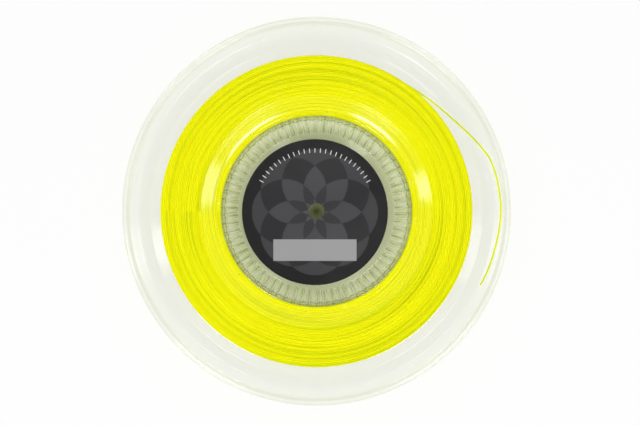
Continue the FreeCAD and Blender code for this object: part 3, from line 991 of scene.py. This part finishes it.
def painted_light_tint(tree, place):
    """Painted light in the plastic's colour: olive shade in the cup with streaks up the cone, yellow light
    at the cup's edge, and grey shade at the rim.
    """
    radius = place["Radius"]
    streaks = painted_streaks_up_cone(tree, place)
    on_cone = inside_band(tree, radius, CONE, CUP_BLEND)
    in_cup = inside_band(tree, radius, CUP, CUP_BLEND)
    at_rim = inside_band(tree, radius, RIM_BAND, RIM_BLEND)
    beside_cone = add_math(tree, "MULTIPLY_ADD", on_cone, -BESIDE_CONE_PAINTED_LIGHT, BESIDE_CONE_PAINTED_LIGHT)
    amount = add_math(tree, "MULTIPLY_ADD", streaks, on_cone, beside_cone)
    amount = add_math(tree, "MULTIPLY", amount, in_cup)
    amount = add_math(tree, "MULTIPLY_ADD", at_rim, RIM_PAINTED_SHADE, amount)
    at_edge = inside_band(tree, radius, EDGE_BAND, EDGE_BLEND)
    return mix_colours(tree, at_edge, colour_ramp(tree, amount, PAINTED_LIGHT_STOPS), CUP_EDGE_PAINTED_LIGHT, "MULTIPLY")


print("stops of the tint:", PAINTED_LIGHT_STOPS)

# %% Material of the clear pieces
PLASTIC_INDEX = 1.46
RIM_WEAR = (109.5, 113.0)
RIM_ROUGHNESS = 0.07
PLASTIC_DULLING = 0.03
SCRATCH_HEIGHT = 0.04
FLOW_DEPTH = 0.0001
WINDOW_COLOUR = (0.985, 0.995, 0.95, 1)


def new_material(name):
    """A material that holds its output only. Gives the material, its node tree and the output."""
    material = bpy.data.materials.new(name)
    material.use_nodes = True
    tree = material.node_tree
    tree.nodes.clear()
    return material, tree, tree.nodes.new("ShaderNodeOutputMaterial")


def add_bump(tree, height, strength, distance):
    """The normal of a surface with small heights on it."""
    return add_node(tree, "ShaderNodeBump", Height=height, Strength=strength, Distance=distance).outputs[0]


def mix_shaders(tree, share, first, second):
    """The first shader where the share is 0, and the second where it is 1."""
    node = tree.nodes.new("ShaderNodeMixShader")
    for socket, value in zip(node.inputs, (share, first, second)):
        feed(tree, socket, value)
    return node.outputs[0]


def clear_plastic(name, roughness, flow_scale, absorbed, density):
    """Clear plastic with its own roughness, size of flow marks, and colour and density of absorption."""
    material, tree, output = new_material(name)
    place = use_group(tree, polar_place)
    low, high = (bound * MM for bound in RIM_WEAR)
    marks = use_group(
        tree,
        handling_marks,
        Radius=place["Radius"],
        Angle=place["Angle"],
        Base_Roughness=map_range(tree, place["Radius"], low, high, roughness, RIM_ROUGHNESS),
        Dulling=PLASTIC_DULLING,
        Scratches=1.0,
    )
    flow = add_noise(tree, object_place(tree), flow_scale, detail=1.0)
    height = add_math(tree, "MULTIPLY_ADD", marks["Height"], SCRATCH_HEIGHT, flow)
    plastic = add_node(
        tree,
        "ShaderNodeBsdfPrincipled",
        Base_Color=painted_light_tint(tree, place),
        Roughness=marks["Roughness"],
        IOR=PLASTIC_INDEX,
        Transmission_Weight=1.0,
        Normal=add_bump(tree, height, 1.0, FLOW_DEPTH),
    )
    window = add_node(tree, "ShaderNodeBsdfTransparent", Color=WINDOW_COLOUR)
    rays = tree.nodes.new("ShaderNodeLightPath").outputs
    plain_rays = add_math(tree, "MAXIMUM", rays["Is Shadow Ray"], rays["Is Diffuse Ray"])
    surface = mix_shaders(tree, plain_rays, plastic.outputs[0], window.outputs[0])
    volume = add_node(tree, "ShaderNodeVolumeAbsorption", Color=absorbed, Density=density)
    feed_named(tree, output, {"Surface": surface, "Volume": volume.outputs[0]})
    return material


shell_material = clear_plastic("clear_shell", 0.02, 45.0, (0.985, 0.995, 0.82, 1), 100.0)
for half in (front_half, rear_half):
    half.data.materials.append(shell_material)
core_material = clear_plastic("clear_core", 0.05, 90.0, (0.80, 0.84, 0.66, 1), 60.0)
core = frame["nodes"]["hub_core"]
core.data.materials.clear()
core.data.materials.append(core_material)
print("clear plastic on", front_half.name, rear_half.name, core.name)

# %% [markdown]
# ## Yellow string
#
# The string is extruded polyester with a fluorescent dye. The dye turns blue and invisible light into more
# yellow light, so the string looks brighter than a painted thing can, and its gaps stay yellow. A faint
# emission stands for that. The colour drifts slightly from one batch of turns to the next, which a noise
# does that is stretched along the turns, and a very fine grain breaks up the gloss. Wound string is lit by
# its yellow neighbours and the loose end is not, so the loose end has the same finish with a painted shade
# in greener tones, which stands in for the yellow light it misses.

# %% Material of the string
BATCH_STRETCH = (450.0, 0.4)
TONE_PLACES = (0.3, 0.45, 0.7)
WOUND_TONES = ((0.76, 0.80, 0.002), (0.93, 0.905, 0.003), (0.96, 0.94, 0.003))
# Painted shade: the loose end's tones are greener than the wound ones, for the yellow light from neighbours
# that it lacks.
LOOSE_PAINTED_SHADE_TONES = ((0.70, 0.80, 0.002), (0.78, 0.87, 0.003), (0.82, 0.90, 0.003))
GRAIN_SCALE = 2500.0
GRAIN_STRENGTH = 0.05
GRAIN_DEPTH = 0.00005


def string_material(name, tones):
    """String in three tones, from the darkest batch to the lightest."""
    material, tree, output = new_material(name)
    place = use_group(tree, polar_place)
    batch = add_noise(tree, unroll(tree, place, *BATCH_STRETCH), 1.0, detail=0.0)
    grain = add_noise(tree, object_place(tree), GRAIN_SCALE, detail=2.0)
    string = add_node(
        tree,
        "ShaderNodeBsdfPrincipled",
        Base_Color=colour_ramp(tree, batch, list(zip(TONE_PLACES, tones))),
        Roughness=0.35,
        IOR=1.57,
        Specular_IOR_Level=0.06,
        Emission_Color=(0.86, 0.90, 0.0, 1),
        Emission_Strength=0.05,
        Normal=add_bump(tree, grain, GRAIN_STRENGTH, GRAIN_DEPTH),
    )
    feed(tree, output.inputs["Surface"], string.outputs[0])
    return material


wound_material = string_material("wound_string", WOUND_TONES)
for piece in windings:
    piece.data.materials.append(wound_material)
tail.data.materials.append(string_material("loose_string", LOOSE_PAINTED_SHADE_TONES))
print("string material on", len(windings) + 1, "pieces")

# %% [markdown]
# ## Printed label
#
# The print is a plain design of its own: a rosette of eight overlapping discs, tone on tone in charcoal
# greys, a blank light-grey panel to write on, and an arc of fine white ticks like those of a dial. All of
# it is drawn with distances and angles, so it stays sharp at any size. It is satin film, with the same
# marks of handling as the plastic.

# %% Draw the print
PRINT_EDGE = 0.08
DISCS = 8
DISC_RADIUS = 23.0
DISC_CIRCLE = 21.0
DISC_STOPS = [(0.0, (0.006, 0.006, 0.007)), (1.0, (0.070, 0.070, 0.075))]
TONE_PER_DISC = 0.1
TONE_OF_ODD = 0.5
TICKS = 72
TICK_LINE = (-0.25, 0.25)
TICK_RING = (41.5, 44.5)
TICK_ARC = (28.0, 152.0)
ARC_EDGE = 0.003
PANEL_X = (-29.0, 29.0)
PANEL_Y = (-34.0, -19.0)
PANEL_INK = (0.33, 0.325, 0.33, 1)
WHITE_INK = (0.80, 0.80, 0.79, 1)
FILM_STRENGTH = 0.3
FILM_DEPTH = 0.00005


def rosette_colour(tree, x, y):
    """Counts the discs that cover a point. Each makes it lighter, and an odd number even more so."""
    covers = 0.0
    for index in range(DISCS):
        turn = 2 * math.pi * index / DISCS
        across = add_math(tree, "SUBTRACT", x, DISC_CIRCLE * MM * math.cos(turn))
        along = add_math(tree, "SUBTRACT", y, DISC_CIRCLE * MM * math.sin(turn))
        distance = add_length(tree, across, along)
        cover = inside_band(tree, distance, (-DISC_RADIUS, DISC_RADIUS), PRINT_EDGE)
        covers = add_math(tree, "ADD", cover, covers)
    odd = add_math(tree, "MULTIPLY", add_math(tree, "PINGPONG", covers, 1.0), TONE_OF_ODD)
    return colour_ramp(tree, add_math(tree, "MULTIPLY_ADD", covers, TONE_PER_DISC, odd), DISC_STOPS)


def tick_mask(tree, radius, angle):
    """Short lines on an arc. The angle repeats for every tick, and a tick is a narrow band of it."""
    pitch = 2 * math.pi / TICKS
    from_nearest = add_math(tree, "WRAP", angle, pitch / 2, -pitch / 2)
    line = inside_band(tree, add_math(tree, "MULTIPLY", from_nearest, radius), TICK_LINE, PRINT_EDGE)
    ring = inside_band(tree, radius, TICK_RING, PRINT_EDGE)
    arc = inside_band(tree, angle, [math.radians(end) for end in TICK_ARC], ARC_EDGE, unit=1)
    return add_math(tree, "MULTIPLY", add_math(tree, "MULTIPLY", line, ring), arc)


def label_material():
    """The printed film: a panel and ticks over a rosette."""
    material, tree, output = new_material("printed_label")
    place = use_group(tree, polar_place, Centre_X=LABEL_X * MM, Centre_Y=LABEL_Y * MM)
    radius, angle = place["Radius"], place["Angle"]
    x = add_math(tree, "MULTIPLY", radius, add_math(tree, "COSINE", angle))
    y = add_math(tree, "MULTIPLY", radius, add_math(tree, "SINE", angle))
    across_panel = inside_band(tree, x, PANEL_X, PRINT_EDGE)
    panel = add_math(tree, "MULTIPLY", across_panel, inside_band(tree, y, PANEL_Y, PRINT_EDGE))
    colour = mix_colours(tree, panel, rosette_colour(tree, x, y), PANEL_INK)
    colour = mix_colours(tree, tick_mask(tree, radius, angle), colour, WHITE_INK)
    handled = {"Radius": radius, "Angle": angle, "Base_Roughness": 0.33, "Dulling": 0.15, "Scratches": 0.3}
    marks = use_group(tree, handling_marks, **handled)
    film = add_node(
        tree,
        "ShaderNodeBsdfPrincipled",
        Base_Color=colour,
        Roughness=marks["Roughness"],
        Normal=add_bump(tree, marks["Height"], FILM_STRENGTH, FILM_DEPTH),
    )
    feed(tree, output.inputs["Surface"], film.outputs[0])
    return material


print_film = label_material()
for label in (front_film, rear_film):
    label.data.materials.append(print_film)
print("label material nodes:", len(print_film.node_tree.nodes))

# %% [markdown]
# ## Floor
#
# The photograph has a white ground with hardly a shadow. A white floor alone would turn grey under the
# reel, so beyond the hub it also shows an even white of its own, more and more outwards, to what looks at
# it straight, through the plastic or in a mirror. Under the hub it stays plain paint in the reel's shade.
# There the paint carries painted light: the yellow of the string's light, which comes down through the hub,
# is painted onto it and fades out further from the bore.

# %% Lay the floor
FLOOR_SIZE = 6.0
FLOOR_WHITE = 0.985
WHITE_SHARE = 0.75
HUB_SHADE = (47.0, 104.0)
PAINTED_LIGHT_REACH = (15.0, 50.0)
FLOOR_PAINT = (0.95, 0.95, 0.95, 1)
# Painted light: the string's yellow light, painted on the floor round the bore and fading outwards.
PAINTED_STRING_LIGHT = (0.92, 0.96, 0.58, 1)


def floor_material():
    """Paint with the string's yellow light painted on round the bore, white further out, and an even white
    beyond the hub.
    """
    material, tree, output = new_material("pale_floor")
    length = add_node(tree, "ShaderNodeVectorMath", Vector=object_place(tree))
    length.operation = "LENGTH"
    distance = length.outputs["Value"]
    glow_start, glow_end = (bound * MM for bound in PAINTED_LIGHT_REACH)
    beyond_bore = map_range(tree, distance, glow_start, glow_end)
    paint = mix_colours(tree, beyond_bore, PAINTED_STRING_LIGHT, FLOOR_PAINT)
    painted = add_node(tree, "ShaderNodeBsdfDiffuse", Color=paint)
    white = add_node(tree, "ShaderNodeEmission", Color=(1, 1, 1, 1), Strength=FLOOR_WHITE)
    rays = tree.nodes.new("ShaderNodeLightPath").outputs
    seen = add_math(tree, "MAXIMUM", rays["Is Camera Ray"], rays["Is Transmission Ray"])
    seen = add_math(tree, "MAXIMUM", seen, rays["Is Glossy Ray"])
    shade_start, shade_end = (bound * MM for bound in HUB_SHADE)
    beyond_hub = map_range(tree, distance, shade_start, shade_end, end=WHITE_SHARE, smooth=True)
    share = add_math(tree, "MULTIPLY", seen, beyond_hub)
    feed(tree, output.inputs["Surface"], mix_shaders(tree, share, painted.outputs[0], white.outputs[0]))
    return material


reach = FLOOR_SIZE / 2
floor_mesh = bpy.data.meshes.new("floor")
floor_corners = [(-reach, -reach, 0), (reach, -reach, 0), (reach, reach, 0), (-reach, reach, 0)]
floor_mesh.from_pydata(floor_corners, [], [(0, 1, 2, 3)])
floor_mesh.materials.append(floor_material())
floor = bpy.data.objects.new("floor", floor_mesh)
bpy.context.scene.collection.objects.link(floor)
print("floor, metres:", FLOOR_SIZE)

# %% [markdown]
# ## Lamps and world
#
# The light is the even light of a studio. Two large soft boxes stand high at the lower left and the lower
# right, and the world fills the shadows. What the glossy plastic mirrors is another matter: a mirror shows
# the shape of its lamps, and the photograph's are soft patches. So the lamps aren't seen in reflections,
# and the world that reflections see is a studio of its own: dark straight overhead, where the camera is,
# brighter at the walls, with six patches whose edges fade out. Where those patches stand follows from the
# highlights: a highlight on a slope comes from twice the slope's tilt.

# %% Lamps
LAMP_DISTANCE = 1.6
LAMP_LEAN = 40
LAMP_WIDTH = 0.9
LAMP_DEPTH = 0.6
RADIANCE = 1.5


def make_lamp(name, azimuth):
    """A soft box aimed at the reel. azimuth says where it stands, seen from the reel."""
    lamp = bpy.data.lights.new(name, "AREA")
    lamp.shape = "RECTANGLE"
    lamp.size, lamp.size_y = LAMP_WIDTH, LAMP_DEPTH
    lamp.energy = RADIANCE * math.pi * LAMP_WIDTH * LAMP_DEPTH
    lamp_object = bpy.data.objects.new(name, lamp)
    turn, tip = math.radians(azimuth), math.radians(LAMP_LEAN)
    way = Vector((math.sin(tip) * math.cos(turn), math.sin(tip) * math.sin(turn), math.cos(tip)))
    lamp_object.location = way * LAMP_DISTANCE
    lamp_object.rotation_euler = way.to_track_quat("Z", "Y").to_euler()
    lamp_object.visible_camera = False
    lamp_object.visible_glossy = False
    lamp_object.visible_transmission = False
    bpy.context.scene.collection.objects.link(lamp_object)
    print(name, "watts:", round(lamp.energy, 2))


make_lamp("lamp_left", 232)
make_lamp("lamp_right", 308)

# %% Light by direction
EVEN_LIGHT = [
    # lean in degrees where a rise starts and ends, and how much it adds
    (22, 30, 1.46),
    (50, 65, -1.16),
]
EVEN_TOP = 0.06
STUDIO_LIGHT = [(6, 20, 0.18), (52, 70, 0.65)]
STUDIO_TOP = 0.02
PATCHES = [
    # azimuth, lean, half width and half depth in degrees, and brightness
    (130, 25.0, 18, 5.5, 10.0),
    (55.5, 25.0, 14, 5.5, 12.0),
    (118, 7.0, 8, 1.5, 4.0),
    (57, 7.0, 9, 1.5, 6.0),
    (166, 33.0, 12, 7.0, 2.9),
    (13, 33.0, 8, 7.0, 4.0),
]
PATCH_FADE = -1.2
WIDTH_SHARPNESS = 4.0
DEPTH_SHARPNESS = 2.0


def add_rises(tree, lean, level, rises):
    """A brightness that starts with a level straight overhead and changes towards the horizon."""
    for low, high, more in rises:
        rise = map_range(tree, lean, math.radians(low), math.radians(high), end=more, smooth=True)
        level = add_math(tree, "ADD", rise, level)
    return level


def shares_away(tree, here, there, size, sharpness):
    """How far a direction is from a patch's middle, as a power of the patch's half size."""
    away = add_math(tree, "SUBTRACT", here, math.radians(there))
    away = add_math(tree, "ABSOLUTE", add_math(tree, "WRAP", away, math.pi, -math.pi))
    return add_math(tree, "POWER", add_math(tree, "DIVIDE", away, math.radians(size)), sharpness)


def add_patches(tree, azimuth, lean, level):
    """Adds the soft patches of light to a brightness."""
    for at_azimuth, at_lean, half_width, half_depth, brightness in PATCHES:
        away = shares_away(tree, azimuth, at_azimuth, half_width, WIDTH_SHARPNESS)
        away = add_math(tree, "ADD", away, shares_away(tree, lean, at_lean, half_depth, DEPTH_SHARPNESS))
        fade = add_math(tree, "EXPONENT", add_math(tree, "MULTIPLY", away, PATCH_FADE))
        level = add_math(tree, "MULTIPLY_ADD", fade, brightness, level)
    return level


print("patches of light:", len(PATCHES))

# %% Build the world
def add_background(tree, strength):
    """Plain white light, as strong as a number or another node's output says."""
    return add_node(tree, "ShaderNodeBackground", Color=(1, 1, 1, 1), Strength=strength).outputs[0]


world = bpy.data.worlds.new("studio")
bpy.context.scene.world = world
world.use_nodes = True
sky = world.node_tree
sky.nodes.clear()
direction = sky.nodes.new("ShaderNodeTexCoord").outputs["Generated"]
parts = add_node(sky, "ShaderNodeSeparateXYZ", Vector=direction).outputs
lean = add_math(sky, "ARCCOSINE", parts["Z"])
azimuth = add_math(sky, "ARCTAN2", parts["Y"], parts["X"])
even = add_background(sky, add_rises(sky, lean, EVEN_TOP, EVEN_LIGHT))
studio = add_patches(sky, azimuth, lean, add_rises(sky, lean, STUDIO_TOP, STUDIO_LIGHT))
rays = sky.nodes.new("ShaderNodeLightPath").outputs
mirrored = add_math(sky, "MAXIMUM", rays["Is Glossy Ray"], rays["Is Transmission Ray"])
light = mix_shaders(sky, mirrored, even, add_background(sky, studio))
light = mix_shaders(sky, rays["Is Camera Ray"], light, add_background(sky, 1.0))
add_node(sky, "ShaderNodeOutputWorld", Surface=light)
print("world nodes:", len(sky.nodes))

# %% [markdown]
# ## Render settings and finish
#
# A ray that looks through the cup crosses many thin walls, so transmission gets far more bounces than
# usual. The plain view transform keeps the white ground white, where a film-like one would grey it.

# %% Finish
cycles = bpy.context.scene.cycles
cycles.max_bounces = 24
cycles.diffuse_bounces = 6
cycles.glossy_bounces = 8
cycles.transmission_bounces = 20
cycles.transparent_max_bounces = 32
bpy.context.scene.view_settings.view_transform = "Standard"
